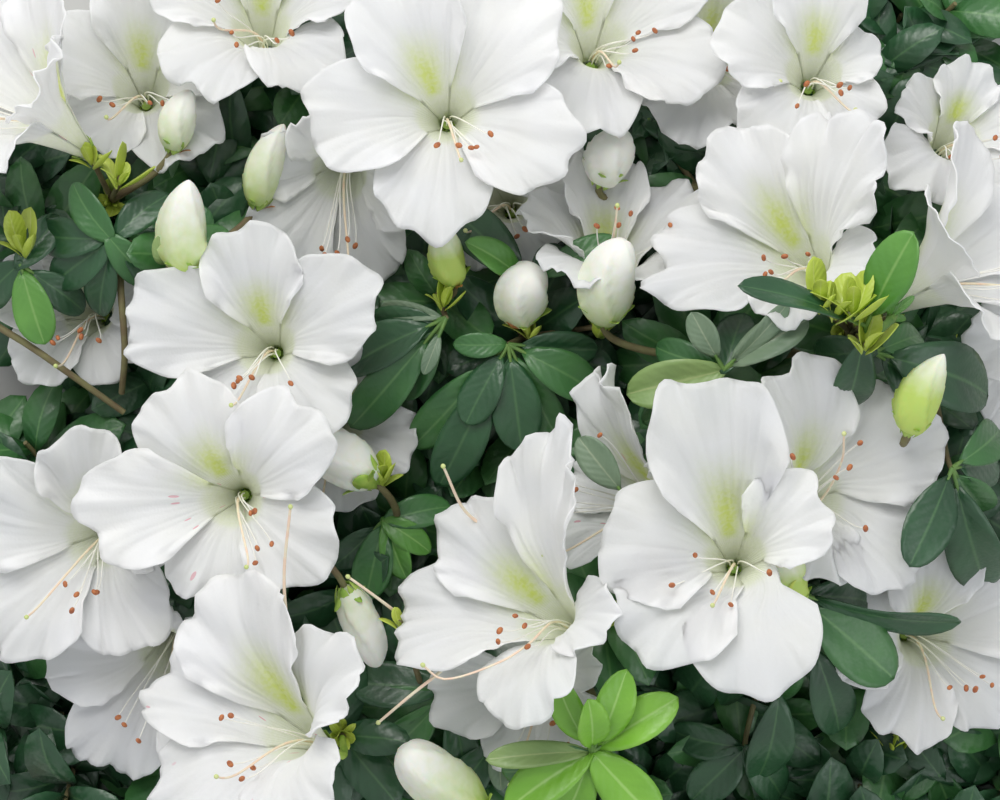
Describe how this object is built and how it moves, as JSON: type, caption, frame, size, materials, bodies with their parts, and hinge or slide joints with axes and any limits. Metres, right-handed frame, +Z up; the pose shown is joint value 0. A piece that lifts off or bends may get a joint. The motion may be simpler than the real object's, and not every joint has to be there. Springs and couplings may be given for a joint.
{
  "type": "cut flowering azalea branch",
  "caption": "Cut flowering branch of a white azalea shrub, lying down with its open blooms, buds and leafy twigs upwards.",
  "frame": {"origin": "middle of the bottom of the box round the branch, on the surface that it lies on", "axes": "+Z up from that surface, +X along the branch's longest side, +Y towards the twigs' tips"},
  "size_m": [0.3566, 0.2986, 0.1253],
  "materials": {
    "bark": "dull brown bark",
    "petals": "soft satin white petal with a yellow-green throat",
    "foliage": "half-glossy dark green leaf"
  },
  "bodies": {
    "root": {"main_stem": "bark", "bough_left_low": "bark", "bough_lower_left": "bark", "bough_left": "bark", "bough_left_top": "bark", "bough_top": "bark", "bough_top_left": "bark", "bough_centre_front": "bark", "bough_centre": "bark", "bough_mid": "bark", "bough_right_front": "bark", "bough_right": "bark", "bough_top_right": "bark", "bough_right_low": "bark", "bloom_front_right": "petals", "bloom_front_left": "petals", "bloom_right": "petals", "bloom_centre": "petals", "bloom_centre_low": "petals", "bloom_lower_left": "petals", "bloom_upper_right": "petals", "bloom_upper_side": "petals", "bloom_top_centre": "petals", "bloom_top_low": "petals", "bloom_top": "petals", "bloom_top_right": "petals", "bloom_far_right": "petals", "bloom_right_top": "petals", "bloom_top_left": "petals", "bloom_left_top": "petals", "bloom_left_back": "petals", "bloom_left_mid": "petals", "bloom_shaded": "petals", "bloom_left_low": "petals", "bloom_left_edge": "petals", "bloom_left_under": "petals", "bloom_mid": "petals", "bloom_mid_back": "petals", "bloom_right_low": "petals", "bloom_right_edge": "petals", "bloom_left_hidden": "petals", "leaves_right_front": "foliage", "leaves_centre_front": "foliage", "leaves_lower_left": "foliage", "leaves_upper_right": "foliage", "leaves_centre": "foliage", "leaves_top": "foliage", "leaves_top_right": "foliage", "leaves_mid": "foliage", "leaves_top_left": "foliage", "leaves_left_top": "foliage", "leaves_left": "foliage", "leaves_left_low": "foliage", "leaves_right_low": "foliage"}
  },
  "joints": []
}
